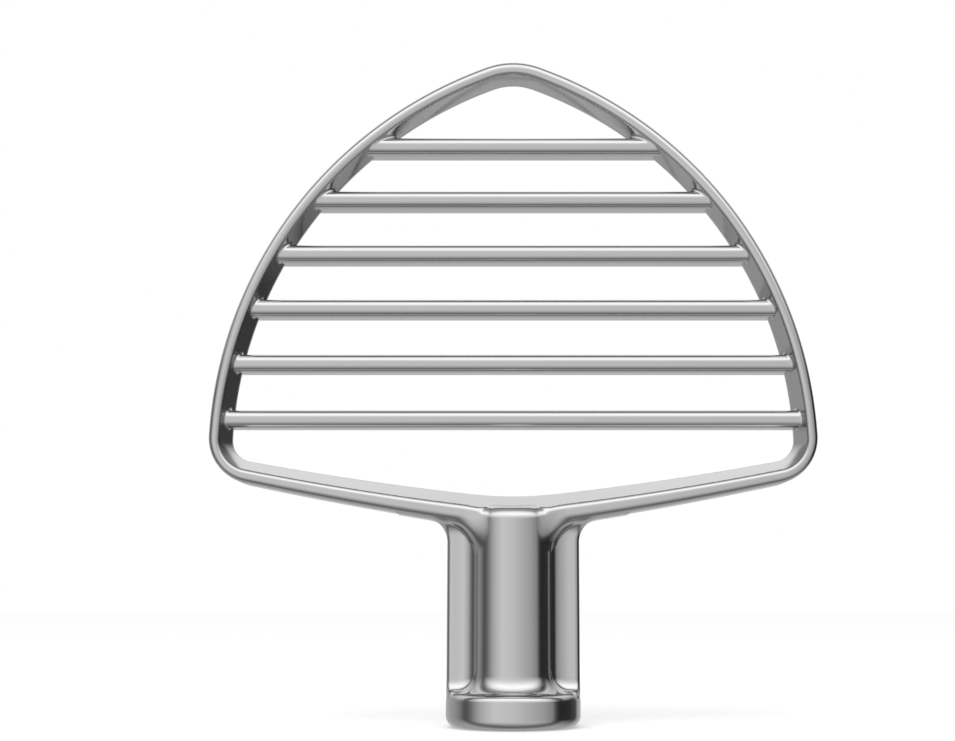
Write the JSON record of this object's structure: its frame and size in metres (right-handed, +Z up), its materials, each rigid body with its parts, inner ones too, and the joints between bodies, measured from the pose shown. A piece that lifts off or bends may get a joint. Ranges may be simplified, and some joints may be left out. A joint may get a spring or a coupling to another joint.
{
  "type": "pastry beater",
  "caption": "Arched mixer beater cast in one piece, with parallel cross bars in a bevelled frame and a finned hub with a socket for the mixer's shaft.",
  "frame": {"origin": "centre of the collar's end face, at the bottom of the part as it stands in the picture", "axes": "+Z up along the hub's axis to the tip, +X across the frame, -Y towards the viewer of the picture"},
  "size_m": [0.1262, 0.0276, 0.1404],
  "materials": {
    "steel": "polished"
  },
  "bodies": {
    "root": {"beater": "steel"}
  },
  "joints": []
}
